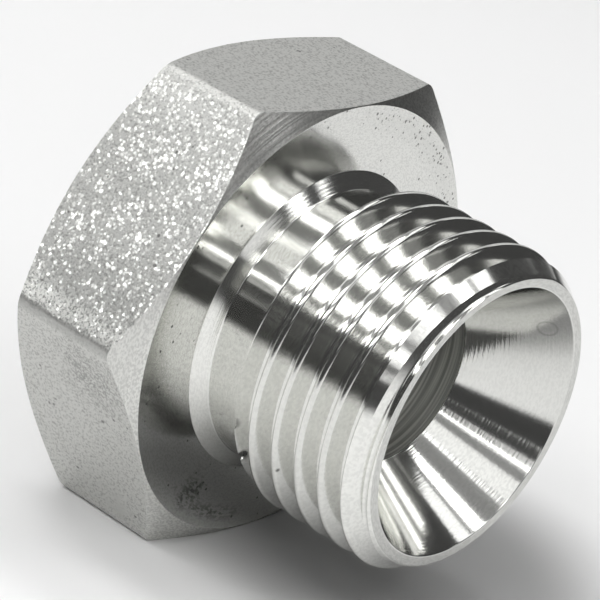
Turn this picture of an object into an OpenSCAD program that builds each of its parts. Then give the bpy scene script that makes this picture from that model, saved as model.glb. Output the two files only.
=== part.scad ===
// Threaded cone plug: one turned piece with a hexagon head, a flat sealing face,
// a relieved neck, a parallel pipe thread and a 60 degree cone seat in its end.
// It lies on a head flat with its axis along X and its thread pointing to +X.
// The origin is where the axis crosses the sealing face. All sizes are in mm.

/* [Head] */
// distance across two opposite flats of the hexagon
hex_af = 28.6; // [27.5:0.1:32]
// length of the head behind the sealing face
head_len = 10; // [8:0.1:14]
// radius of the rounding along each corner of the hexagon
corner_round = 0.9; // [0.1:0.1:1.5]
// angle of both end chamfers of the head, from a plane across the axis
chamfer_angle = 30; // [15:1:35]
// how far the sealing face stays inside the flats all round
front_inset = 0.05; // [0.02:0.01:1]
// how far the back face stays inside the flats all round
back_inset = 0.35; // [0.05:0.05:1.5]

/* [Neck] */
// how far the neck lies below the bottom of the thread groove
neck_relief = 0.27; // [0.1:0.01:0.6]
// distance from the sealing face to where the neck ends and the threaded part rises
neck_len = 3.6; // [3.2:0.1:4.4]
// angle of the wall that rises from the neck to the thread, from the axis
wall_angle = 75; // [45:1:80]
// height of the small cone that joins the neck to the sealing face
ramp_rise = 0.95; // [0.3:0.05:1.3]
// length of that small cone along the axis
ramp_len = 0.7; // [0.3:0.05:1]

/* [Thread] */
// way the thread winds: the plug as pictured is left-hand
thread_hand = "left"; // [left, right]
// diameter over the thread crests
thread_d = 20.955; // [20:0.005:22]
// distance along the axis from one crest to the next
thread_pitch = 1.814; // [1.5:0.001:1.95]
// angle between the two flanks of the thread
flank_angle = 55; // [50:1:60]
// length of the neck and threaded end in front of the sealing face
shank_len = 14; // [12:0.1:18]
// where the thread starts round the axis, in degrees from the lowest side
thread_turn = 126; // [0:1:359]
// flat steps round one turn of the thread
turn_steps = 36; // [24:6:36]

/* [Lead end] */
// how deep the lead chamfer cuts into the thread at the plug's end
lead_depth = 0.98; // [0.7:0.01:1.3]
// angle of the lead chamfer from the axis
lead_angle = 35; // [25:1:45]
// width of the flat rim between the lead chamfer and the cone seat
rim_w = 0.68; // [0.3:0.01:1.2]

/* [Seat and bore] */
// full angle of the cone seat
seat_angle = 60; // [50:1:74]
// diameter of the blind drilled bore behind the seat
bore_d = 11; // [9:0.1:13]
// depth of the bore's straight wall from the plug's end
bore_depth = 15; // [10:0.1:17]
// full angle of the drill point at the bottom of the bore
drill_angle = 118; // [90:1:140]

/* [Hidden] */
// name of each separate piece, and the one to show

// smoothness of the turned surfaces
$fn = 128;

// sides of the hexagon
hex_sides = 6;

// how far a cutting shape passes the surface that it opens
past = 1;

// flat steps that each corner's rounding is made of
round_steps = 6;

// head: distance from the axis to a flat, to the middle of a rounding and to its outside
flat_r = hex_af / 2;
round_at = (flat_r - corner_round) / cos(180 / hex_sides);
corner_r = round_at + corner_round;

// thread form: rounded crests and roots between straight flanks
half_flank = flank_angle / 2;
sharp_depth = thread_pitch / (2 * tan(half_flank));
groove_depth = sharp_depth * 2 / 3;
tip_r = (sharp_depth - groove_depth) / (2 * (1 / sin(half_flank) - 1));
crest_r = thread_d / 2;
root_r = crest_r - groove_depth;

// shank: radii of the neck, the ramp's foot, the rim and the mouth of the seat
neck_r = root_r - neck_relief;
ramp_r = neck_r + ramp_rise;
rim_r = crest_r - lead_depth;
mouth_r = rim_r - rim_w;

// bore: radius and the places along the axis of its bottom and of the seat's end
bore_r = bore_d / 2;
bore_floor = shank_len - bore_depth;
drill_len = bore_r / tan(drill_angle / 2);
seat_end = shank_len - (mouth_r - bore_r) / tan(seat_angle / 2);

// thread sweep: it starts below the wall and ends past the rim, a whole turn clear
hand = thread_hand == "left" ? -1 : 1;
tip_reach = 90 - half_flank;
arc_parts = 2;
sweep_first = neck_len - past - thread_pitch;
sweep_last = shank_len + past / 2;
sweep_steps = ceil((sweep_last - sweep_first) / thread_pitch * turn_steps);

// points of a rounded tip of the thread form, as [along, drop from the tip]
function tip(from, to) = [
    for (part = [from : to])
        let (a = part * tip_reach / arc_parts)
        [tip_r * sin(a), tip_r * (1 - cos(a))]
];

// section of the thread from one crest to just before the next, as [along, radius]
function thread_section() = concat(
    [for (p = tip(0, arc_parts)) [p[0], crest_r - p[1]]],
    [for (p = tip(-arc_parts, arc_parts)) [thread_pitch / 2 + p[0], root_r + p[1]]],
    [for (p = tip(-arc_parts, -1)) [thread_pitch + p[0], crest_r - p[1]]]
);

// place of a section point at one step of the sweep
function on_helix(point, step) =
    let (turn = thread_turn + hand * step * 360 / turn_steps)
    [
        point[1] * cos(turn),
        point[1] * sin(turn),
        sweep_first + step * thread_pitch / turn_steps + point[0]
    ];

// solid rod with the thread on it, closed at both ends by fans to the axis
module threaded_rod() {
    section = thread_section();
    n = len(section);
    steps = sweep_steps + turn_steps;
    points = concat(
        [
            for (step = [0 : steps])
                for (point = section)
                    on_helix(point, step)
        ],
        [
            [0, 0, sweep_first + thread_pitch / 2],
            [0, 0, sweep_first + sweep_steps * thread_pitch / turn_steps + thread_pitch / 2]
        ]
    );
    first_hub = len(points) - 2;
    last_hub = len(points) - 1;
    // point i of a step, where point n is the first one of the next turn
    function at(step, i) = i < n ? step * n + i : (step + turn_steps) * n;
    sides = [
        for (step = [0 : sweep_steps - 1])
            for (i = [0 : n - 1])
                each [
                    [at(step, i), at(step, i + 1), at(step + 1, i + 1)],
                    [at(step, i), at(step + 1, i + 1), at(step + 1, i)]
                ]
    ];
    first_end = concat(
        [for (step = [0 : turn_steps - 1]) [first_hub, at(step, 0), at(step + 1, 0)]],
        [for (i = [0 : n - 1]) [first_hub, at(0, i + 1), at(0, i)]]
    );
    last_end = concat(
        [
            for (step = [sweep_steps : sweep_steps + turn_steps - 1])
                [last_hub, at(step + 1, 0), at(step, 0)]
        ],
        [for (i = [0 : n - 1]) [last_hub, at(sweep_steps, i), at(sweep_steps, i + 1)]]
    );
    all_faces = concat(sides, first_end, last_end);
    polyhedron(
        points = points,
        faces = hand > 0 ? all_faces : [for (f = all_faces) [f[0], f[2], f[1]]],
        convexity = 10
    );
}

// outline of the drawn bar: a hexagon with rounded corners
function bar_outline() = [
    for (side = [0 : hex_sides - 1])
        for (part = [0 : round_steps])
            let (middle = (side + 0.5) * 360 / hex_sides)
            let (a = middle + (part / round_steps - 0.5) * 360 / hex_sides)
            [
                round_at * cos(middle) + corner_round * cos(a),
                round_at * sin(middle) + corner_round * sin(a)
            ]
];

// hexagon bar with both ends chamfered
module head() {
    front_r = flat_r - front_inset;
    back_r = flat_r - back_inset;
    over_r = corner_r + past;
    front_len = (over_r - front_r) * tan(chamfer_angle);
    back_len = (over_r - back_r) * tan(chamfer_angle);
    intersection() {
        translate([0, 0, -head_len])
            linear_extrude(height = head_len)
                polygon(bar_outline());
        rotate_extrude()
            polygon([
                [0, -head_len],
                [back_r, -head_len],
                [over_r, -head_len + back_len],
                [over_r, -front_len],
                [front_r, 0],
                [0, 0]
            ]);
    }
}

// ramp at the sealing face and the neck, which runs on inside the thread
module neck() {
    rotate_extrude()
        polygon([
            [0, -past],
            [ramp_r, -past],
            [ramp_r, 0],
            [neck_r, ramp_len],
            [neck_r, neck_len + past],
            [0, neck_len + past]
        ]);
}

// turned outline that bounds the thread: its end wall, lead chamfer and rim
module thread_bounds() {
    foot_r = neck_r - past;
    over_r = crest_r + past;
    rotate_extrude()
        polygon([
            [0, neck_len - past / tan(wall_angle)],
            [foot_r, neck_len - past / tan(wall_angle)],
            [over_r, neck_len + (over_r - neck_r) / tan(wall_angle)],
            [over_r, shank_len - (over_r - rim_r) / tan(lead_angle)],
            [rim_r, shank_len],
            [0, shank_len]
        ]);
}

// hollow of the cone seat and the blind drilled bore
module seat_and_bore() {
    past_r = mouth_r + past * tan(seat_angle / 2);
    rotate_extrude()
        polygon([
            [0, bore_floor - drill_len],
            [bore_r, bore_floor],
            [bore_r, seat_end],
            [past_r, shank_len + past],
            [0, shank_len + past]
        ]);
}

// the whole plug, standing on its back face
module standing_plug() {
    difference() {
        union() {
            head();
            neck();
            intersection() {
                threaded_rod();
                thread_bounds();
            }
        }
        seat_and_bore();
    }
}

// the plug laid on a head flat with its thread towards +X
module plug() {
    color("silver")
        rotate([0, 90, 0])
            standing_plug();
}

plug();
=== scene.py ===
"""Looks of the threaded cone plug: the turned piece, its plated finishes and the stage."""
import math
from collections import namedtuple

import bmesh
import bpy
from bpy.props import FloatProperty, FloatVectorProperty, IntProperty, PointerProperty
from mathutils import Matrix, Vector


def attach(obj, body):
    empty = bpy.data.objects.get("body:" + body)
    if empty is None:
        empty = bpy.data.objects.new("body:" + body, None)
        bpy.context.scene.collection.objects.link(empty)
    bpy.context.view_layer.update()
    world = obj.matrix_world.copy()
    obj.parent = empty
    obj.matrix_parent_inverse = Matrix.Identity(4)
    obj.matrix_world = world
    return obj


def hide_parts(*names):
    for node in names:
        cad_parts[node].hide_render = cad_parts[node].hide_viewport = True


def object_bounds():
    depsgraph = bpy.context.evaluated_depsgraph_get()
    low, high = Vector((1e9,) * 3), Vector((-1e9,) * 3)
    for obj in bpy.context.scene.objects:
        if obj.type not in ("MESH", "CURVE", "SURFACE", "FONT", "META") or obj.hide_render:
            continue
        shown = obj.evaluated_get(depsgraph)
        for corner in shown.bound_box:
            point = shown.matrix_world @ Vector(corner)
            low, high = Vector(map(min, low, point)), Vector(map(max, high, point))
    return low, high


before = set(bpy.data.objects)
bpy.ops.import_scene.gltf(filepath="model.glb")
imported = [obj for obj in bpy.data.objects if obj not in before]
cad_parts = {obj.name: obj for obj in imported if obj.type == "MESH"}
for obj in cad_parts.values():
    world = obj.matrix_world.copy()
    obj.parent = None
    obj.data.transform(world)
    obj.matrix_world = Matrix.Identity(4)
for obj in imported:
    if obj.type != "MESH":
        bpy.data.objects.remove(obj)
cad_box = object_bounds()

MM = 0.001

bl_info = {
    "name": "Threaded Cone Plug",
    "version": (1, 0, 0),
    "blender": (4, 5, 0),
    "location": "3D View > Sidebar > Cone Plug",
    "description": "Turns a hexagon-head plug with a pipe thread and a cone seat, plates it and stages it",
    "category": "Add Mesh",
}


# Sizes, finishes and stage settings that a user would change


def length(name, text, mm):
    """Setting for a length, given in mm."""
    return FloatProperty(name=name, description=text, default=mm * MM, min=0.0, precision=6, unit='LENGTH')


def angle(name, text, degrees):
    """Setting for an angle, given in degrees."""
    return FloatProperty(name=name, description=text, default=math.radians(degrees), unit='ROTATION')


def brightness(name, text, value):
    """Setting for the brightness of a lamp's surface."""
    return FloatProperty(name=name, description=text, default=value, min=0.0)


def tint(name, text, rgb):
    """Setting for a colour."""
    return FloatVectorProperty(name=name, description=text, default=rgb, size=3, min=0.0, max=1.0,
                               subtype='COLOR')


class PlugSizes(bpy.types.PropertyGroup):
    """Sizes of the turned piece."""
    hex_af: length("Across flats", "Distance across two opposite flats of the hexagon", 28.6)
    head_len: length("Head length", "Length of the head behind the sealing face", 10.0)
    corner_round: length("Corner rounding", "Radius of the rounding along the hexagon's corners", 0.9)
    face_r: length("Sealing face radius", "Outer radius of the sealing face", 14.25)
    back_r: length("Back face radius", "Outer radius of the head's back face", 13.95)
    chamfer: angle("Chamfer angle", "Angle of the head's end chamfers from a plane across the axis", 30)
    ramp_r: length("Ramp radius", "Radius of the ramp's foot on the sealing face", 10.0)
    ramp_len: length("Ramp length", "Length of the ramp along the axis", 0.7)
    neck_r: length("Neck radius", "Radius of the relieved neck", 9.045)
    neck_len: length("Neck length", "Distance from the sealing face to the end of the neck", 3.6)
    wall: angle("Wall angle", "Angle from the axis of the wall between neck and thread", 75)
    thread_r: length("Thread radius", "Radius over the thread's crests", 10.4775)
    pitch: length("Pitch", "Distance along the axis from crest to crest", 1.814)
    crest_at: length("Crest place", "Place along the axis of a crest at the top of the thread", 4.14)
    shank_len: length("Shank length", "Length of the neck and threaded end", 14.0)
    rim_r: length("Rim radius", "Outer radius of the flat rim at the plug's end", 9.4975)
    lead: angle("Lead angle", "Angle of the lead chamfer from the axis", 35)
    mouth_r: length("Seat radius", "Radius of the cone seat at its mouth", 8.8175)
    seat: angle("Seat angle", "Full angle of the cone seat", 60)
    bore_r: length("Bore radius", "Radius of the drilled bore", 5.5)
    bore_depth: length("Bore depth", "Depth of the bore's straight wall from the plug's end", 15.0)
    round_steps: IntProperty(
        name="Round steps", description="Flat steps round a turned surface", default=192, min=24)


class PlugFinish(bpy.types.PropertyGroup):
    """Colour of the plated steel."""
    plating: tint("Plating", "Colour of the bright zinc plating", (0.755, 0.757, 0.73))


class StageSettings(bpy.types.PropertyGroup):
    """Floor, lamps and camera."""
    floor_size: length("Floor size", "Width of the floor", 3000.0)
    lamp_height: length("Lamp height", "Height of the ceiling lamps over the plug", 450.0)
    strips: brightness("Strips", "Brightness of the strip lamps", 4.2)
    ceiling: brightness("Ceiling", "Brightness between the strips", 0.235)
    fill: brightness("Fill", "Brightness of the side fill", 0.62)
    lens: FloatProperty(name="Lens", description="Focal length of the camera", default=204.0, unit='CAMERA')


# Modelling helpers

# reaches in metres: points that become one in a weld and in a lathe, and points on a cutting plane
WELD_REACH = 2e-8
LATHE_REACH = 1e-7
CUT_REACH = 1e-8

# distance of a guard ring from its fillet, which keeps the straight beside it flat under smooth shading
GUARD = 0.06 * MM

# faces that meet at less than this angle are shaded as one smooth surface
SMOOTH_BELOW = math.radians(24)


def only(piece):
    """Selects one object alone and makes it active."""
    if bpy.context.object and bpy.context.object.mode != 'OBJECT':
        bpy.ops.object.mode_set(mode='OBJECT')
    bpy.ops.object.select_all(action='DESELECT')
    piece.select_set(True)
    bpy.context.view_layer.objects.active = piece


def draw_line(name, points):
    """Draws a line in the XZ plane: a plane merged to one point, which is extruded from point to point."""
    bpy.ops.object.select_all(action='DESELECT')
    first_x, first_r = points[0]
    bpy.ops.mesh.primitive_plane_add(size=MM, location=(0, 0, 0))
    line = bpy.context.object
    line.name = name
    line.data.name = name
    bpy.ops.object.mode_set(mode='EDIT')
    bpy.ops.mesh.select_all(action='SELECT')
    bpy.ops.mesh.merge(type='CENTER')
    bpy.ops.transform.translate(value=(first_x, 0, first_r))
    for (xa, ra), (xb, rb) in zip(points, points[1:]):
        bpy.ops.mesh.extrude_region_move(TRANSFORM_OT_translate={"value": (xb - xa, 0, rb - ra)})
    bpy.ops.object.mode_set(mode='OBJECT')
    return line


def lathe(line, steps, turns=1, travel=0.0, hand=1):
    """Turns a line about the X axis with the Screw modifier, which travels along the axis for a thread."""
    only(line)
    screw = line.modifiers.new("Turn", 'SCREW')
    screw.axis = 'X'
    screw.angle = hand * math.tau
    screw.screw_offset = travel
    screw.iterations = turns
    screw.steps = steps
    screw.render_steps = steps
    screw.use_merge_vertices = travel == 0.0
    screw.merge_threshold = LATHE_REACH
    bpy.ops.object.modifier_apply(modifier=screw.name)


def weld(piece):
    """Merges doubles and turns the faces outwards."""
    only(piece)
    bpy.ops.object.mode_set(mode='EDIT')
    bpy.ops.mesh.select_all(action='SELECT')
    bpy.ops.mesh.remove_doubles(threshold=WELD_REACH)
    bpy.ops.mesh.normals_make_consistent(inside=False)
    bpy.ops.mesh.select_all(action='DESELECT')
    bpy.ops.object.mode_set(mode='OBJECT')


def combine(piece, other, operation):
    """Boolean of a piece with another one, which is used up."""
    only(piece)
    boolean = piece.modifiers.new("Combine", 'BOOLEAN')
    boolean.operation = operation
    boolean.solver = 'EXACT'
    boolean.object = other
    bpy.ops.object.modifier_apply(modifier=boolean.name)
    if not piece.data.polygons:
        raise RuntimeError("Nothing is left of %s once %s is combined" % (piece.name, other.name))
    bpy.data.objects.remove(other)


def corner(x, r, fillet=0.0, steps=3):
    """Corner of a turned profile: place and radius in metres, fillet in mm and the fillet's steps."""
    return x, r, fillet * MM, steps


def rounded(corners):
    """Profile points from corners, with a guard ring on each side of every fillet."""
    points = []
    for i, (x, r, fillet, steps) in enumerate(corners):
        here = Vector((x, r))
        if fillet <= 0 or i in (0, len(corners) - 1):
            points.append((x, r))
            continue
        back = (Vector(corners[i - 1][:2]) - here).normalized()
        ahead = (Vector(corners[i + 1][:2]) - here).normalized()
        half = back.angle(ahead) / 2
        reach = fillet / math.tan(half)
        middle = here + (back + ahead).normalized() * (fillet / math.sin(half))
        start = here + back * reach - middle
        end = here + ahead * reach - middle
        sweep = start.angle(end)
        points.append(tuple(here + back * (reach + GUARD)))
        for k in range(steps + 1):
            t = k / steps
            spoke = (start * math.sin((1 - t) * sweep) + end * math.sin(t * sweep)) / math.sin(sweep)
            points.append(tuple(middle + spoke))
        points.append(tuple(here + ahead * (reach + GUARD)))
    return points


# The turned piece

HEX_SIDES = 6
DRILL_ANGLE = math.radians(118)
FLANK_ANGLE = math.radians(55)

# how far the uncut blank stands over the thread's crests and over the hexagon's sharp corners
OVER_CREST = 0.25 * MM
OVER_CORNER = 0.3 * MM


def turned_blank(sizes):
    """The blank from the lathe: head, face, neck, uncut thread, lead chamfer, rim, seat and bore."""
    over = sizes.thread_r + OVER_CREST
    wide = sizes.hex_af / 2 / math.cos(math.pi / HEX_SIDES) + OVER_CORNER
    slope = math.tan(sizes.chamfer)
    seat_end = sizes.shank_len - (sizes.mouth_r - sizes.bore_r) / math.tan(sizes.seat / 2)
    floor = sizes.shank_len - sizes.bore_depth
    blank = draw_line("Threaded_plug", rounded([
        corner(-sizes.head_len, 0),
        corner(-sizes.head_len, sizes.back_r, fillet=0.10),
        corner(-sizes.head_len + (wide - sizes.back_r) * slope, wide),
        corner(-(wide - sizes.face_r) * slope, wide),
        corner(0, sizes.face_r, fillet=0.05),
        corner(0, sizes.ramp_r, fillet=0.04),
        corner(sizes.ramp_len, sizes.neck_r, fillet=0.12),
        corner(sizes.neck_len, sizes.neck_r, fillet=0.08),
        corner(sizes.neck_len + (over - sizes.neck_r) / math.tan(sizes.wall), over),
        corner(sizes.shank_len - (over - sizes.rim_r) / math.tan(sizes.lead), over),
        corner(sizes.shank_len, sizes.rim_r, fillet=0.14, steps=5),
        corner(sizes.shank_len, sizes.mouth_r, fillet=0.10, steps=4),
        corner(seat_end, sizes.bore_r, fillet=0.06),
        corner(floor, sizes.bore_r, fillet=0.20),
        corner(floor - sizes.bore_r / math.tan(DRILL_ANGLE / 2), 0),
    ]))
    lathe(blank, sizes.round_steps)
    weld(blank)
    return blank


def cut_flats(blank, sizes):
    """Cuts the hexagon with its rounded corners by planes that touch the bar's outline."""
    only(blank)
    bpy.ops.object.mode_set(mode='EDIT')
    side = math.tau / HEX_SIDES
    middle_r = (sizes.hex_af / 2 - sizes.corner_round) / math.cos(side / 2)
    cuts_per_side = 6
    for cut in range(HEX_SIDES * cuts_per_side):
        turn = cut * side / cuts_per_side
        from_corner = turn % side - side / 2
        reach = middle_r * math.cos(from_corner) + sizes.corner_round
        out = Vector((0, -math.sin(turn), math.cos(turn)))
        bpy.ops.mesh.select_all(action='SELECT')
        bpy.ops.mesh.bisect(plane_co=out * reach, plane_no=out, use_fill=True, clear_outer=True,
                            threshold=CUT_REACH)
    bpy.ops.mesh.select_all(action='DESELECT')
    bpy.ops.object.mode_set(mode='OBJECT')


def thread_line(sizes):
    """One pitch of the thread form, from crest to crest, with rounded crests and root."""
    half = FLANK_ANGLE / 2
    sharp = sizes.pitch / (2 * math.tan(half))
    depth = sharp * 2 / 3
    tip = (sharp - depth) / (2 * (1 / math.sin(half) - 1))
    reach = math.pi / 2 - half
    root = sizes.thread_r - depth
    down = Vector((math.sin(half), -math.cos(half))) * GUARD
    steps = 5
    arc = [reach * k / steps for k in range(steps + 1)]
    rounding = [(tip * math.sin(a), tip * (1 - math.cos(a))) for a in arc]
    crest = [Vector((along, sizes.thread_r - drop)) for along, drop in rounding]
    crest.append(crest[-1] + down)
    bottom = [Vector((sizes.pitch / 2 - along, root + drop)) for along, drop in rounding[::-1]]
    bottom.insert(0, bottom[0] - down)
    half_line = [tuple(p) for p in crest + bottom]
    return half_line + [(sizes.pitch - x, r) for x, r in half_line[-2::-1]]


def threaded_rod(sizes):
    """Rod with the left-hand thread on it, open at both ends and longer than the thread."""
    first = sizes.crest_at - 2 * sizes.pitch
    rod = draw_line("Threaded rod", [(first + x, r) for x, r in thread_line(sizes)])
    lathe(rod, steps=160, turns=8, travel=sizes.pitch, hand=-1)
    weld(rod)
    return rod


def close_rod(rod):
    """Closes each open end of the rod to one point on its axis."""
    for end in (-1, 1):
        only(rod)
        bpy.ops.object.mode_set(mode='EDIT')
        bpy.ops.mesh.select_all(action='DESELECT')
        mesh = bmesh.from_edit_mesh(rod.data)
        middle = sum(v.co.x for v in mesh.verts) / len(mesh.verts)
        for edge in mesh.edges:
            if edge.is_boundary and (sum(v.co.x for v in edge.verts) / 2 - middle) * end > 0:
                edge.select_set(True)
        bmesh.update_edit_mesh(rod.data)
        bpy.ops.mesh.extrude_region_move(TRANSFORM_OT_translate={"value": (0, 0, 0)})
        bpy.ops.mesh.merge(type='CENTER')
        bpy.ops.mesh.select_all(action='DESELECT')
        bpy.ops.object.mode_set(mode='OBJECT')
    weld(rod)


def head_bar(sizes):
    """Plain bar that holds the head and neck: wider, longer at the back, and short of the thread."""
    longer = 0.7 * MM
    past_back = 1.0 * MM
    radius_share = 0.7
    depth = sizes.head_len + sizes.neck_len + longer
    bpy.ops.object.select_all(action='DESELECT')
    bpy.ops.mesh.primitive_cylinder_add(
        vertices=64, radius=sizes.hex_af * radius_share, depth=depth, end_fill_type='NGON',
        location=(-sizes.head_len - past_back + depth / 2, 0, 0), rotation=(0, math.pi / 2, 0))
    bar = bpy.context.object
    bar.name = "Head bar"
    bpy.ops.object.transform_apply(location=True, rotation=True, scale=True)
    return bar


def dent(plug, name, place, size, tilt):
    """Knocks a dent with a stretched ball: place and half sizes in mm, tilt about the axis in degrees."""
    bpy.ops.object.select_all(action='DESELECT')
    bpy.ops.mesh.primitive_ico_sphere_add(
        subdivisions=2, radius=1.0, location=[v * MM for v in place], rotation=(math.radians(tilt), 0, 0))
    ball = bpy.context.object
    ball.name = name
    ball.scale = [v * MM for v in size]
    bpy.ops.object.transform_apply(location=True, rotation=True, scale=True)
    combine(plug, ball, 'DIFFERENCE')


class PLUG_OT_turn(bpy.types.Operator):
    """Turn the plug: blank, hexagon, thread, seat and bore in one piece"""
    bl_idname = "plug.turn"
    bl_label = "Turn the Plug"

    def execute(self, context):
        sizes = context.scene.plug_sizes
        plug = turned_blank(sizes)
        cut_flats(plug, sizes)
        rod = threaded_rod(sizes)
        close_rod(rod)
        combine(rod, head_bar(sizes), 'UNION')
        combine(plug, rod, 'INTERSECT')
        dent(plug, "Upper dent", place=(3.82, -9.75, -3.25), size=(0.32, 0.36, 0.46), tilt=20)
        dent(plug, "Lower dent", place=(3.92, -8.20, -5.70), size=(0.26, 0.34, 0.85), tilt=-35)
        weld(plug)
        only(plug)
        bpy.ops.object.shade_smooth_by_angle(angle=SMOOTH_BELOW)
        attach(plug, "root")
        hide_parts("plug")
        return {'FINISHED'}


# Node helpers


def node(tree, kind, settings=None, **inputs):
    """Adds a node. An input goes by its name or as i and its number, and is a value or a linked socket."""
    made = tree.nodes.new(kind)
    for name, value in (settings or {}).items():
        setattr(made, name, value)
    for name, value in inputs.items():
        key = int(name[1:]) if name[0] == "i" and name[1:].isdigit() else name.replace("_", " ")
        socket = made.inputs[key]
        if isinstance(value, bpy.types.NodeSocket):
            tree.links.new(value, socket)
        else:
            socket.default_value = value
    return made


def numbered(values):
    """Inputs of a node in their order."""
    return {"i%d" % k: value for k, value in enumerate(values)}


def maths(tree, operation, *values, clamp=False):
    """Math node with its values in order."""
    settings = {"operation": operation, "use_clamp": clamp}
    return node(tree, "ShaderNodeMath", settings, **numbered(values)).outputs[0]


def plus(tree, first, second):
    """Sum of two values."""
    return maths(tree, "ADD", first, second)


def minus(tree, first, second):
    """Difference of two values."""
    return maths(tree, "SUBTRACT", first, second)


def times(tree, first, second, clamp=False):
    """Product of two values, held to 0..1 where clamp is set."""
    return maths(tree, "MULTIPLY", first, second, clamp=clamp)


def fading(tree, distance, reach):
    """One at no distance, and evenly less until nothing is left at the reach."""
    return maths(tree, "SUBTRACT", 1.0, maths(tree, "DIVIDE", distance, reach), clamp=True)


def ramp(tree, value, low, high, start=0.0, end=1.0, kind='LINEAR'):
    """Value spread from low..high to start..end, and held there."""
    settings = {"clamp": True, "interpolation_type": kind}
    limits = numbered((value, low, high, start, end))
    return node(tree, "ShaderNodeMapRange", settings, **limits).outputs[0]


def mixed(tree, mask, under, over):
    """Colour that goes from under to over as the mask goes from 0 to 1."""
    return node(tree, "ShaderNodeMix", {"data_type": 'RGBA'}, i0=mask, i6=under, i7=over).outputs[2]


def vector_maths(tree, operation, *values, **named):
    """Vector Math node with its values in order."""
    made = node(tree, "ShaderNodeVectorMath", {"operation": operation}, **numbered(values), **named)
    return made.outputs["Value" if operation in ('LENGTH', 'DISTANCE') else "Vector"]


def noise(tree, place, scale=1.0, detail=2.0, rough=0.5, output="Fac"):
    """Noise at a place."""
    return node(tree, "ShaderNodeTexNoise", {"noise_dimensions": '3D'},
                Vector=place, Scale=scale, Detail=detail, Roughness=rough).outputs[output]


def cells(tree, place):
    """Irregular cells, one to each unit of the place: distance from the middle and a colour for each."""
    return node(tree, "ShaderNodeTexVoronoi", {"feature": 'F1'}, Vector=place, Scale=1.0).outputs


def place_in_mm(tree):
    """Place on the plug in mm."""
    where = node(tree, "ShaderNodeTexCoord").outputs["Object"]
    return vector_maths(tree, 'SCALE', where, Scale=1 / MM)


def parts_of(tree, place):
    """Parts of a place: X along the plug's axis, Y and Z across it."""
    return node(tree, "ShaderNodeSeparateXYZ", i0=place).outputs


def from_axis(tree, parts):
    """Distance of a place from the plug's axis."""
    squares = [times(tree, parts[name], parts[name]) for name in "YZ"]
    return maths(tree, "SQRT", plus(tree, *squares))


def shrunk(tree, place, size):
    """Place counted in steps of a size in mm."""
    return vector_maths(tree, 'SCALE', place, Scale=maths(tree, "DIVIDE", 1.0, size))


def start_group(name, inputs, outputs):
    """New shader node group: its tree, what it is given and what it results in."""
    tree = bpy.data.node_groups.new(name, "ShaderNodeTree")
    for label, value in inputs.items():
        kind = 'NodeSocketVector' if isinstance(value, tuple) else 'NodeSocketFloat'
        socket = tree.interface.new_socket(label, in_out='INPUT', socket_type=kind)
        socket.default_value = value
    for label in outputs:
        kind = 'NodeSocketVector' if label.endswith("normal") else 'NodeSocketFloat'
        tree.interface.new_socket(label, in_out='OUTPUT', socket_type=kind)
    return tree, tree.nodes.new("NodeGroupInput").outputs, tree.nodes.new("NodeGroupOutput").inputs


# Patterns that the finishes share, one node group each


def turning_marks():
    """Rings that the tool leaves: fine grooves of uneven depth and broader bands."""
    tree, given, result = start_group(
        "Turning marks", {"Along": 1.0, "Across": 0.0, "Spacing": 0.1, "Drift": 0.05}, ("Height", "Band"))
    band_share = 0.22
    parts = parts_of(tree, place_in_mm(tree))
    along = times(tree, parts["X"], given["Along"])
    across = times(tree, from_axis(tree, parts), given["Across"])
    turns = maths(tree, "DIVIDE", plus(tree, along, across), given["Spacing"])
    side = times(tree, parts["Y"], given["Drift"])
    rise = times(tree, parts["Z"], given["Drift"])
    fine = node(tree, "ShaderNodeCombineXYZ", X=turns, Y=side, Z=rise).outputs[0]
    broad = node(tree, "ShaderNodeCombineXYZ", X=times(tree, turns, band_share), Y=side, Z=rise).outputs[0]
    tree.links.new(noise(tree, fine, detail=1.2), result["Height"])
    tree.links.new(noise(tree, broad, detail=1.0), result["Band"])


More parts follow.
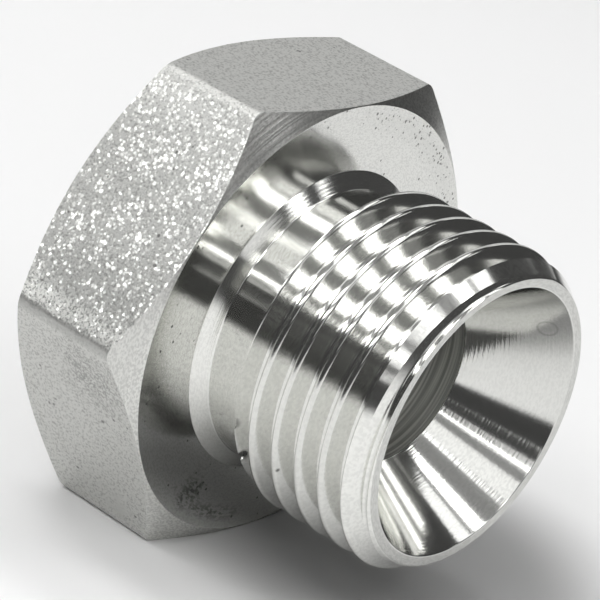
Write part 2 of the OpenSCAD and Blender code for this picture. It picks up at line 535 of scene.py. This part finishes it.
def zinc_grain():
    """Skin of the drawn bar: tilted crystals in clusters, whose mask is also a painted glint in the flats'
    colour, fine grain and an edge that turns over.
    """
    tree, given, result = start_group(
        "Zinc grain",
        {"Size": 0.21, "Tilt": 0.26, "Lift": 0.08, "Grain size": 0.16,
         "Face radius": 14.25, "Slope": 0.577, "Edge width": 0.12},
        ("Height", "Glint", "Grain", "Facet normal"))
    place = place_in_mm(tree)
    parts = parts_of(tree, place)

    # crystals with ragged borders, on the upper side flats where the lamps catch them and not on the top
    # one
    border_mm = 0.22
    cluster_mm = 1.6
    plain_share = 0.35
    cluster_share = 0.7
    biggest = 0.40
    ragged = vector_maths(tree, 'SCALE', noise(tree, place, scale=7.0, output="Color"), Scale=border_mm)
    crystals = cells(tree, shrunk(tree, vector_maths(tree, 'ADD', place, ragged), given["Size"]))
    dice = node(tree, "ShaderNodeSeparateColor", i0=crystals["Color"]).outputs
    cluster = ramp(tree, noise(tree, shrunk(tree, place, cluster_mm), detail=3.0), low=0.30, high=0.66)
    above_axis = ramp(tree, parts["Z"], low=-0.4, high=0.8)
    below_top = ramp(tree, parts["Z"], low=14.2, high=13.6)
    upper = times(tree, above_axis, below_top)
    share_here = times(tree, upper, maths(tree, "MULTIPLY_ADD", cluster, cluster_share, plain_share))
    chosen = maths(tree, "LESS_THAN", dice["Red"], share_here)
    reach = times(tree, maths(tree, "POWER", dice["Blue"], 2.0), biggest)
    glint = times(tree, chosen, ramp(tree, minus(tree, crystals["Distance"], reach), low=0.46, high=0.04))

    # fine grain everywhere
    height = noise(tree, shrunk(tree, place, given["Grain size"]), rough=0.6)

    # edge where the flats meet the front chamfer, at an uneven width
    past_face = minus(tree, given["Face radius"], from_axis(tree, parts))
    inside = minus(tree, times(tree, past_face, given["Slope"]), parts["X"])
    uneven = times(tree, given["Edge width"], plus(tree, noise(tree, place, scale=1.2, detail=3.0), 0.5))
    edge = fading(tree, inside, uneven)

    # each crystal leans its own way, and the edge leans over to the chamfer
    edge_lean = 0.6
    spin = vector_maths(tree, 'SUBTRACT', crystals["Color"], (0.5, 0.5, 0.5))
    lean = vector_maths(tree, 'SCALE', spin, Scale=given["Tilt"])
    lift = node(tree, "ShaderNodeCombineXYZ", Z=given["Lift"]).outputs[0]
    lean = vector_maths(tree, 'SCALE', vector_maths(tree, 'ADD', lean, lift), Scale=glint)
    over = node(tree, "ShaderNodeCombineXYZ", X=times(tree, edge, edge_lean)).outputs[0]
    plain = node(tree, "ShaderNodeNewGeometry").outputs["Normal"]
    turned = vector_maths(tree, 'ADD', plain, vector_maths(tree, 'ADD', lean, over))

    tree.links.new(height, result["Height"])
    tree.links.new(glint, result["Glint"])
    tree.links.new(ramp(tree, height, low=0.50, high=0.36), result["Grain"])
    tree.links.new(vector_maths(tree, 'NORMALIZE', turned), result["Facet normal"])


def specks():
    """Single dark specks; the share of cells that hold one goes up with Share."""
    tree, given, result = start_group("Specks", {"Size": 0.35, "Share": 0.03}, ("Speck",))
    biggest = 0.35
    spots = cells(tree, shrunk(tree, place_in_mm(tree), given["Size"]))
    dice = node(tree, "ShaderNodeSeparateColor", i0=spots["Color"]).outputs
    chosen = maths(tree, "LESS_THAN", dice["Green"], given["Share"])
    reach = times(tree, dice["Red"], biggest)
    dot = ramp(tree, minus(tree, spots["Distance"], reach), low=0.12, high=0.0)
    tree.links.new(times(tree, chosen, dot), result["Speck"])


def near_place():
    """Soft spot round one place, full up to Near and gone at Far, with an uneven border."""
    tree, given, result = start_group(
        "Near a place", {"Place": (0.0, 0.0, 0.0), "Near": 0.5, "Far": 1.5, "Uneven": 0.0}, ("Mask",))
    place = place_in_mm(tree)
    away = vector_maths(tree, 'DISTANCE', place, given["Place"])
    border = minus(tree, noise(tree, place, scale=1.1, detail=4.0, rough=0.65), 0.5)
    away = plus(tree, away, times(tree, border, given["Uneven"]))
    tree.links.new(ramp(tree, away, given["Far"], given["Near"]), result["Mask"])


def along_arc():
    """Soft band along an arc round the axis; angles in degrees from straight up towards the front."""
    tree, given, result = start_group(
        "Along an arc", {"Radius": 13.0, "Width": 0.8, "Middle": 0.0, "Spread": 20.0}, ("Mask",))
    parts = parts_of(tree, place_in_mm(tree))
    turn = maths(tree, "DEGREES", maths(tree, "ARCTAN2", times(tree, parts["Y"], -1.0), parts["Z"]))
    off = maths(tree, "ABSOLUTE", minus(tree, turn, given["Middle"]))
    out = maths(tree, "ABSOLUTE", minus(tree, from_axis(tree, parts), given["Radius"]))
    band = fading(tree, out, given["Width"])
    span = maths(tree, "SQRT", fading(tree, off, given["Spread"]))
    tree.links.new(times(tree, band, span), result["Mask"])


PATTERNS = (turning_marks, zinc_grain, specks, near_place, along_arc)


# Finish helpers

# what counts the rings: the radius on a face, the place along the axis in the seat, and both elsewhere
ON_FACE = {"Along": 0.0, "Across": 1.0}
IN_SEAT = {"Along": 1.0, "Across": 0.0}
ON_SHANK = {"Along": 1.0, "Across": 1.0}


def pattern(mat, name, **inputs):
    """Adds a shared pattern to a material; an input is a value or a linked socket."""
    settings = {"node_tree": bpy.data.node_groups[name]}
    return node(mat.node_tree, "ShaderNodeGroup", settings, **inputs).outputs


def marks(mat, way, spacing, drift):
    """Turning marks: rings with a small drift, and short fine scratches with a large one."""
    return pattern(mat, "Turning marks", **way, Spacing=spacing, Drift=drift)


def skin(mat, scratches, low=0.58, high=0.40):
    """Mask of the scratches' hollows, which are darker."""
    return ramp(mat.node_tree, scratches["Height"], low, high)


def steel(name, rough, stretch=0.0):
    """Plated steel; stretch draws its highlights out across the turning marks."""
    mat = bpy.data.materials.new(name)
    mat.use_nodes = True
    shader = mat.node_tree.nodes["Principled BSDF"].inputs
    shader["Metallic"].default_value = 1
    shader["Roughness"].default_value = rough
    if stretch:
        shader["Anisotropic"].default_value = stretch
        shader["Anisotropic Rotation"].default_value = 0.25
        around = node(mat.node_tree, "ShaderNodeTangent", {"direction_type": 'RADIAL', "axis": 'X'})
        mat.node_tree.links.new(around.outputs[0], shader["Tangent"])
    return mat


def shade(plating, factor):
    """The plating's colour times a factor, with alpha."""
    return (*(min(1.0, c * factor) for c in plating), 1)


def tinted(mat, plating, base, *layers):
    """Base colour: the plating times base, and over it each layer, a mask and its factor of the plating."""
    tree = mat.node_tree
    colour = shade(plating, base)
    for mask, factor in layers:
        colour = mixed(tree, mask, colour, shade(plating, factor))
    tree.links.new(colour, tree.nodes["Principled BSDF"].inputs["Base Color"])


def bumped(mat, height, distance, normal=None):
    """Bump of a height of 0..1 by a distance in mm, on top of another normal where one is given."""
    tree = mat.node_tree
    made = node(tree, "ShaderNodeBump", Distance=distance * MM, Height=height)
    if normal is not None:
        tree.links.new(normal, made.inputs["Normal"])
    tree.links.new(made.outputs[0], tree.nodes["Principled BSDF"].inputs["Normal"])


# Finishes, one function each; places, radii and spacings in mm. Each finish's base factor of the plating is
# set to how bright that surface looks, so where it is off one it is painted light or shade.


def drawn_flats(plating):
    """Sides of the hexagon: drawn bar with zinc crystals with painted glints, a stain, a darker patch at
    the foot, a painted dark line along one corner and a painted highlight along one flat's lower edge.
    """
    mat = steel("Drawn flats", rough=0.42)
    tree = mat.node_tree
    grain = pattern(mat, "Zinc grain", Size=0.215)
    dots = pattern(mat, "Specks", Size=0.40, Share=0.02)
    stain = pattern(mat, "Near a place", Place=(-3.2, -15.2, -2.9), Near=0.6, Far=3.4, Uneven=5.0)
    foot = pattern(mat, "Near a place", Place=(-3.0, -9.5, -12.5), Near=0.0, Far=1.6, Uneven=5.0)
    # painted dark reflection: a darker line along one corner of the hexagon, where its rounded edge would
    # mirror dark surroundings
    painted_dark_corner_line = pattern(mat, "Along an arc", Radius=16.40, Width=0.16, Middle=90.0, Spread=30.0)
    # painted highlight: a lighter band along the lower edge of one upper flat
    painted_highlight_strip = pattern(mat, "Along an arc", Radius=16.0, Width=0.6, Middle=86.5, Spread=4.5)
    stained = times(tree, stain["Mask"], ramp(tree, grain["Height"], low=0.60, high=0.42))
    painted_highlight_share = times(tree, painted_highlight_strip["Mask"], 1.6)
    light = times(tree, painted_highlight_share, ramp(tree, grain["Height"], low=0.35, high=0.60), clamp=True)
    # painted shade: a base of 0.82 makes the flats a darker copy of the plating
    tinted(mat, plating, 0.82,
           # painted glints: the crystals are painted lighter, at 1.2 of the plating, besides their lean and
           # lower roughness
           (light, 1.32), (grain["Grain"], 0.52), (grain["Glint"], 1.2), (stained, 0.45),
           (foot["Mask"], 0.76), (painted_dark_corner_line["Mask"], 0.55), (dots["Speck"], 0.30))
    gloss = ramp(tree, grain["Glint"], low=0.0, high=1.0, start=0.46, end=0.31)
    tree.links.new(gloss, tree.nodes["Principled BSDF"].inputs["Roughness"])
    bumped(mat, grain["Height"], 0.010, grain["Facet normal"])
    return mat


def turned_chamfers(plating):
    """End chamfers and back face of the head: plain rings in a scratched skin."""
    mat = steel("Turned chamfers", rough=0.28, stretch=0.3)
    rings = marks(mat, ON_FACE, spacing=0.10, drift=0.03)
    scratches = marks(mat, ON_FACE, spacing=0.12, drift=5.0)
    bands = ramp(mat.node_tree, rings["Band"], low=0.35, high=0.60)
    # painted shade: a base of 0.89 makes the chamfers a darker copy of the plating
    tinted(mat, plating, 0.89, (bands, 0.99), (skin(mat, scratches), 0.76))
    bumped(mat, rings["Height"], 0.010)
    return mat


def sealing_face(plating):
    """Sealing face: bright and finely scratched, with pitted arcs at both sides and scuffs at its foot."""
    mat = steel("Turned sealing face", rough=0.13, stretch=0.85)
    tree = mat.node_tree
    scratches = marks(mat, ON_FACE, spacing=0.12, drift=5.0)
    ragged = marks(mat, ON_FACE, spacing=0.20, drift=2.2)
    right_arc = pattern(mat, "Along an arc", Radius=13.3, Width=1.2, Middle=-34.0, Spread=34.0)
    left_arc = pattern(mat, "Along an arc", Radius=13.6, Width=0.8, Middle=40.0, Spread=40.0)
    foot_arc = pattern(mat, "Along an arc", Radius=13.2, Width=0.7, Middle=160.0, Spread=15.0)
    blemish = pattern(mat, "Near a place", Place=(0.0, -6.84, -10.4), Near=0.2, Far=1.5, Uneven=3.4)
    worn = plus(tree, right_arc["Mask"], blemish["Mask"])
    worn = plus(tree, worn, times(tree, left_arc["Mask"], 0.35))
    clumps = times(tree, worn, ramp(tree, ragged["Band"], low=0.42, high=0.60))
    pits = pattern(mat, "Specks", Size=0.24, Share=plus(tree, times(tree, clumps, 1.6), 0.03))
    small_pits = pattern(mat, "Specks", Size=0.13, Share=times(tree, clumps, 1.2))
    smudge = times(tree, worn, 0.45, clamp=True)
    scuffed = plus(tree, blemish["Mask"], foot_arc["Mask"])
    scuff = times(tree, ramp(tree, ragged["Height"], low=0.56, high=0.44), scuffed, clamp=True)
    tinted(mat, plating, 1.0,
           (smudge, 0.80), (skin(mat, scratches, low=0.55, high=0.38), 0.86), (scuff, 0.34),
           (small_pits["Speck"], 0.55), (pits["Speck"], 0.28))
    bumped(mat, scratches["Height"], 0.0006)
    return mat


def turned_neck(plating):
    """Neck: bright rings and short scratches, painted as a lighter copy of the plating."""
    mat = steel("Turned neck", rough=0.11, stretch=0.9)
    rings = marks(mat, ON_SHANK, spacing=0.20, drift=0.05)
    scratches = marks(mat, ON_SHANK, spacing=0.11, drift=4.0)
    # painted light: a base of 1.08 makes the neck a lighter copy of the plating
    tinted(mat, plating, 1.08, (skin(mat, scratches), 0.97))
    bumped(mat, plus(mat.node_tree, rings["Height"], scratches["Height"]), 0.0010)
    return mat


def cut_thread(plating):
    """Thread and its wall: cut rings and scratches, with painted shade in the dents and a dark speck on one
    flank.
    """
    mat = steel("Cut thread", rough=0.13, stretch=0.6)
    rings = marks(mat, ON_SHANK, spacing=0.20, drift=0.10)
    scratches = marks(mat, ON_SHANK, spacing=0.11, drift=4.0)
    # painted shade darkens the two dents; the third spot is a dark speck on a flank
    dent_shade_and_speck = (
        pattern(mat, "Near a place", Place=(3.85, -9.65, -3.25), Near=0.16, Far=0.50, Uneven=0.3),
        pattern(mat, "Near a place", Place=(4.02, -8.05, -5.64), Near=0.12, Far=0.55, Uneven=0.3),
        pattern(mat, "Near a place", Place=(7.43, -9.20, -4.61), Near=0.06, Far=0.20, Uneven=0.3))
    tinted(mat, plating, 1.02, (skin(mat, scratches), 0.94), *((spot["Mask"], 0.22) for spot in dent_shade_and_speck))
    low_scratches = times(mat.node_tree, scratches["Height"], 0.6)
    bumped(mat, plus(mat.node_tree, rings["Height"], low_scratches), 0.0026)
    return mat


def cone_seat(plating):
    """Cone seat: turned rings, and a thin round mark on one side."""
    mat = steel("Turned cone seat", rough=0.12, stretch=0.5)
    mark_at = (12.64, 6.7, 4.42)
    rings = marks(mat, IN_SEAT, spacing=0.13, drift=0.07)
    scratches = marks(mat, IN_SEAT, spacing=0.10, drift=4.0)
    outer = pattern(mat, "Near a place", Place=mark_at, Near=0.60, Far=0.72)
    inner = pattern(mat, "Near a place", Place=mark_at, Near=0.50, Far=0.60)
    ring_mark = minus(mat.node_tree, outer["Mask"], inner["Mask"])
    tinted(mat, plating, 0.97, (skin(mat, scratches, low=0.58, high=0.38), 0.90), (ring_mark, 0.70))
    low_scratches = times(mat.node_tree, scratches["Height"], 0.3)
    bumped(mat, plus(mat.node_tree, rings["Height"], low_scratches), 0.0055)
    return mat


def drilled_bore(plating):
    """Drilled bore and its drill point: rougher, with streaks."""
    mat = steel("Drilled bore", rough=0.42)
    rings = marks(mat, ON_SHANK, spacing=0.16, drift=0.12)
    streaks = ramp(mat.node_tree, rings["Height"], low=0.35, high=0.65)
    # painted light: a base of 1.28 makes the bore much lighter than the plating, lifting the shade inside
    # it
    tinted(mat, plating, 1.28, (streaks, 0.72))
    bumped(mat, rings["Height"], 0.01)
    return mat


def turned_ramp(plating):
    """Ramp between the sealing face and the neck."""
    mat = steel("Turned ramp", rough=0.13, stretch=0.8)
    rings = marks(mat, ON_FACE, spacing=0.11, drift=0.12)
    scratches = marks(mat, ON_FACE, spacing=0.10, drift=4.0)
    # painted light: a base of 1.14 makes the ramp a lighter copy of the plating
    tinted(mat, plating, 1.14, (skin(mat, scratches), 1.04))
    bumped(mat, rings["Height"], 0.004)
    return mat


def turned_rim(plating):
    """Flat rim at the plug's end: rougher, scratched and painted as a darker copy of the plating."""
    mat = steel("Turned rim", rough=0.22, stretch=0.4)
    scratches = marks(mat, ON_FACE, spacing=0.12, drift=3.0)
    # painted shade: a base of 0.86 makes the rim a darker copy of the plating
    tinted(mat, plating, 0.86, (skin(mat, scratches), 0.74))
    bumped(mat, scratches["Height"], 0.004)
    return mat


def turned_lead(plating):
    """Lead chamfer on the thread's end."""
    mat = steel("Turned lead", rough=0.13, stretch=0.6)
    rings = marks(mat, ON_SHANK, spacing=0.20, drift=0.10)
    scratches = marks(mat, ON_SHANK, spacing=0.11, drift=4.0)
    # painted light: a base of 1.16 makes the lead a lighter copy of the plating
    tinted(mat, plating, 1.16, (skin(mat, scratches), 1.04))
    bumped(mat, rings["Height"], 0.0026)
    return mat


FINISHES = {
    "flats": drawn_flats,
    "chamfers": turned_chamfers,
    "face": sealing_face,
    "neck": turned_neck,
    "thread": cut_thread,
    "seat": cone_seat,
    "bore": drilled_bore,
    "ramp": turned_ramp,
    "rim": turned_rim,
    "lead": turned_lead,
}

# how far a face's centre may lie off the surface that it belongs to
HAIR = 0.02 * MM

# depths from the plug's end that hold all of the seat and all of the lead chamfer
SEAT_DEPTH = 5.8 * MM
LEAD_DEPTH = 1.8 * MM

# depth behind the sealing face past which what faces forwards near the axis is the bore's drill point
POINT_DEPTH = 1 * MM

# least part of a normal along the axis: on the sealing face, the rim, the lead, and a ramp or chamfer
FACE_NORMAL = 0.97
RIM_NORMAL = 0.9
LEAD_NORMAL = 0.5
SLOPE_NORMAL = 0.3

# part of a normal away from the axis below which a face looks into the seat or the bore
INWARD_NORMAL = -0.1


def finish_of(sizes, centre, normal):
    """Which finish a face of the plug gets, from its centre and normal."""
    x = centre.x
    r = math.hypot(centre.y, centre.z)
    outward = centre.y * normal.y + centre.z * normal.z
    if r < sizes.neck_r and outward < INWARD_NORMAL * r:
        return "seat" if x > sizes.shank_len - SEAT_DEPTH else "bore"
    if x < -POINT_DEPTH and r < sizes.bore_r and normal.x > 0:
        return "bore"
    if x > sizes.shank_len - HAIR and normal.x > RIM_NORMAL:
        return "rim"
    if x > sizes.shank_len - LEAD_DEPTH and normal.x > LEAD_NORMAL:
        return "lead"
    if x > sizes.neck_len - HAIR:
        return "thread"
    if x > HAIR:
        return "ramp" if normal.x > SLOPE_NORMAL else "neck"
    if normal.x > FACE_NORMAL:
        return "face"
    if abs(normal.x) > SLOPE_NORMAL:
        return "chamfers"
    return "flats"


class PLUG_OT_plate(bpy.types.Operator):
    """Give each surface of the plug its plated finish"""
    bl_idname = "plug.plate"
    bl_label = "Plate the Plug"

    def execute(self, context):
        sizes = context.scene.plug_sizes
        plating = tuple(context.scene.plug_finish.plating)
        plug = bpy.data.objects["Threaded_plug"]
        plug.data.materials.clear()
        for make_pattern in PATTERNS:
            make_pattern()
        for make_finish in FINISHES.values():
            plug.data.materials.append(make_finish(plating))
        order = list(FINISHES)
        for face in plug.data.polygons:
            face.material_index = order.index(finish_of(sizes, face.center, face.normal))
        return {'FINISHED'}


# Stage

# floor: how far it lies under the plug, its tone near the plug and away from it, and the fade in metres;
# the darker tone away from the plug is painted shade that dims the metal's reflections towards the horizon
FLOOR_GAP = 0.02 * MM
FLOOR_NEAR = 0.93
PAINTED_SHADE_AWAY = 0.34
PAINTED_SHADE_FADE = (0.10, 0.42)

# painted shadow on the floor under the plug: tone, middle and fade in metres
PAINTED_SHADOW_TONE = 0.4
PAINTED_SHADOW_AT = (0.007, 0.007, 0.0)
PAINTED_SHADOW_FADE = (0.008, 0.018)

# ceiling lamps: places and sizes in parts of the lamps' height, share of the strips' brightness
Strip = namedtuple("Strip", "across width left right share")
STRIPS = (
    Strip(across=-1.35, width=0.22, left=-1.20, right=0.45, share=1.0),
    Strip(across=-1.22, width=0.12, left=0.45, right=1.05, share=0.5),
    Strip(across=-1.22, width=0.16, left=1.05, right=1.60, share=1.0),
    Strip(across=-0.82, width=0.30, left=-1.20, right=0.42, share=1.0),
    Strip(across=-0.58, width=0.42, left=0.45, right=1.00, share=0.22),
    Strip(across=-0.24, width=0.22, left=-0.75, right=-0.15, share=1.0),
    Strip(across=-0.24, width=0.22, left=0.75, right=1.15, share=1.0),
    Strip(across=-0.36, width=0.18, left=-0.15, right=0.60, share=0.5),
    Strip(across=0.19, width=0.18, left=-0.90, right=1.00, share=0.9),
    Strip(across=0.50, width=0.26, left=-0.10, right=1.00, share=0.28),
    Strip(across=0.62, width=0.16, left=1.20, right=1.90, share=1.0),
    Strip(across=-0.08, width=1.10, left=1.90, right=4.00, share=0.19),
    Strip(across=-1.30, width=0.70, left=1.12, right=2.20, share=0.22),
    Strip(across=-2.30, width=1.20, left=1.95, right=3.40, share=0.17),
    Strip(across=1.05, width=0.20, left=0.90, right=1.30, share=0.6),
    Strip(across=1.80, width=1.40, left=-0.12, right=0.06, share=0.20),
    Strip(across=-2.25, width=0.18, left=-2.00, right=-1.10, share=0.07),
    Strip(across=-3.00, width=0.26, left=-2.50, right=-1.40, share=0.06),
    Strip(across=-4.30, width=0.45, left=-3.40, right=-1.90, share=0.06),
)

# side fill: direction from +X towards +Y, rise of its aim, and distance in lamps' heights
FILL_TURN = math.radians(128)
FILL_RISE = 0.46
FILL_DISTANCE = 1.3

# even light from all round
WORLD_LEVEL = 0.06

# camera: place in metres, turn in radians and sensor in mm, from a fit to the photograph's edges
CAMERA_PLACE = (0.108802, -0.156637, 0.080426)
CAMERA_TURN = (1.164109, -0.247258, 0.715016)
SENSOR_WIDTH = 36


def grey(level):
    """Neutral colour with alpha."""
    return (level, level, level, 1)


def pale_floor():
    """Pale floor with painted shade: it is painted darker away from the plug, and a painted shadow lies
    under the plug.
    """
    mat = bpy.data.materials.new("Pale floor")
    mat.use_nodes = True
    tree = mat.node_tree
    shader = tree.nodes["Principled BSDF"].inputs
    shader["Roughness"].default_value = 0.9
    shader["Specular IOR Level"].default_value = 0.0
    where = node(tree, "ShaderNodeTexCoord").outputs["Object"]
    away = vector_maths(tree, 'LENGTH', where)
    # painted shade: the floor's colour darkens with distance from the plug
    fade = ramp(tree, away, *PAINTED_SHADE_FADE, kind='SMOOTHSTEP')
    open_floor = mixed(tree, fade, grey(FLOOR_NEAR), grey(PAINTED_SHADE_AWAY))
    # painted shadow: the floor is painted darker round a spot under the threaded end
    off_painted_shadow = vector_maths(tree, 'DISTANCE', where, PAINTED_SHADOW_AT)
    clear = ramp(tree, off_painted_shadow, *PAINTED_SHADOW_FADE, kind='SMOOTHSTEP')
    tree.links.new(mixed(tree, clear, grey(PAINTED_SHADOW_TONE), open_floor), shader["Base Color"])
    return mat


def lay_floor(settings):
    """Lays the floor just under the plug."""
    bpy.ops.object.select_all(action='DESELECT')
    bpy.ops.mesh.primitive_plane_add(size=settings.floor_size, location=(0, 0, cad_box[0].z - FLOOR_GAP))
    floor = bpy.context.object
    floor.name = "Floor"
    floor.data.materials.append(pale_floor())


def soft_lamp(name, settings, across, width, left, right, radiance, level=1.0):
    """Flat soft lamp that faces down; its place and size are in parts of the lamps' height."""
    height = settings.lamp_height
    middle = (left + right) / 2
    bpy.ops.object.light_add(type='AREA', location=(middle * height, across * height, level * height))
    lamp = bpy.context.object
    lamp.name = name
    lamp.data.shape = 'RECTANGLE'
    lamp.data.size = (right - left) * height
    lamp.data.size_y = width * height
    lamp.data.energy = radiance * math.pi * lamp.data.size * lamp.data.size_y
    return lamp


def hang_lamps(settings):
    """Hangs the strips, the panel above them and the fill from the side."""
    for number, strip in enumerate(STRIPS, start=1):
        soft_lamp("Strip %d" % number, settings, strip.across, strip.width, strip.left, strip.right,
                  radiance=settings.strips * strip.share)
    soft_lamp("Ceiling", settings, across=-0.40, width=2.1, left=-1.2, right=1.6,
              radiance=settings.ceiling, level=1.05)
    fill = soft_lamp("Side fill", settings, across=0, width=1.0, left=-0.8, right=0.8,
                     radiance=settings.fill)
    aim = Vector((math.cos(FILL_TURN), math.sin(FILL_TURN), FILL_RISE)).normalized()
    fill.location = aim * settings.lamp_height * FILL_DISTANCE
    fill.rotation_euler = aim.to_track_quat('Z', 'Y').to_euler()


def light_world(scene):
    """Gives the world a low even light."""
    world = scene.world or bpy.data.worlds.new("World")
    scene.world = world
    world.use_nodes = True
    background = world.node_tree.nodes["Background"].inputs
    background["Color"].default_value = grey(WORLD_LEVEL)
    background["Strength"].default_value = 1.0


def set_camera(scene, settings):
    """Sets the camera at the photograph's angle."""
    data = bpy.data.cameras.new("Camera")
    data.lens = settings.lens
    data.sensor_width = SENSOR_WIDTH
    data.clip_start = 0.01
    data.clip_end = 10
    camera = bpy.data.objects.new("Camera", data)
    scene.collection.objects.link(camera)
    camera.location = CAMERA_PLACE
    camera.rotation_euler = CAMERA_TURN
    scene.camera = camera


class PLUG_OT_stage(bpy.types.Operator):
    """Set the floor, the lamps and the camera"""
    bl_idname = "plug.stage"
    bl_label = "Set the Stage"

    def execute(self, context):
        scene = context.scene
        settings = scene.stage_settings
        lay_floor(settings)
        hang_lamps(settings)
        light_world(scene)
        set_camera(scene, settings)
        scene.view_settings.view_transform = 'Standard'
        return {'FINISHED'}


# Panel and registration


class PLUG_PT_panel(bpy.types.Panel):
    """Sizes, finishes and steps of the plug"""
    bl_idname = "PLUG_PT_panel"
    bl_label = "Cone Plug"
    bl_space_type = 'VIEW_3D'
    bl_region_type = 'UI'
    bl_category = "Cone Plug"

    def draw(self, context):
        scene = context.scene
        for group in (scene.plug_sizes, scene.plug_finish, scene.stage_settings):
            box = self.layout.box()
            for name in group.__annotations__:
                box.prop(group, name)
        for step in (PLUG_OT_turn, PLUG_OT_plate, PLUG_OT_stage):
            self.layout.operator(step.bl_idname)


CLASSES = (PlugSizes, PlugFinish, StageSettings, PLUG_OT_turn, PLUG_OT_plate, PLUG_OT_stage, PLUG_PT_panel)


def register():
    """Registers the settings, the steps and the panel."""
    for cls in CLASSES:
        bpy.utils.register_class(cls)
    bpy.types.Scene.plug_sizes = PointerProperty(type=PlugSizes)
    bpy.types.Scene.plug_finish = PointerProperty(type=PlugFinish)
    bpy.types.Scene.stage_settings = PointerProperty(type=StageSettings)


def unregister():
    """Takes the settings, the steps and the panel away."""
    del bpy.types.Scene.stage_settings
    del bpy.types.Scene.plug_finish
    del bpy.types.Scene.plug_sizes
    for cls in reversed(CLASSES):
        bpy.utils.unregister_class(cls)


def main():
    """Builds the plug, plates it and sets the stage."""
    register()
    bpy.ops.plug.turn()
    bpy.ops.plug.plate()
    bpy.ops.plug.stage()


if __name__ == "__main__":
    main()
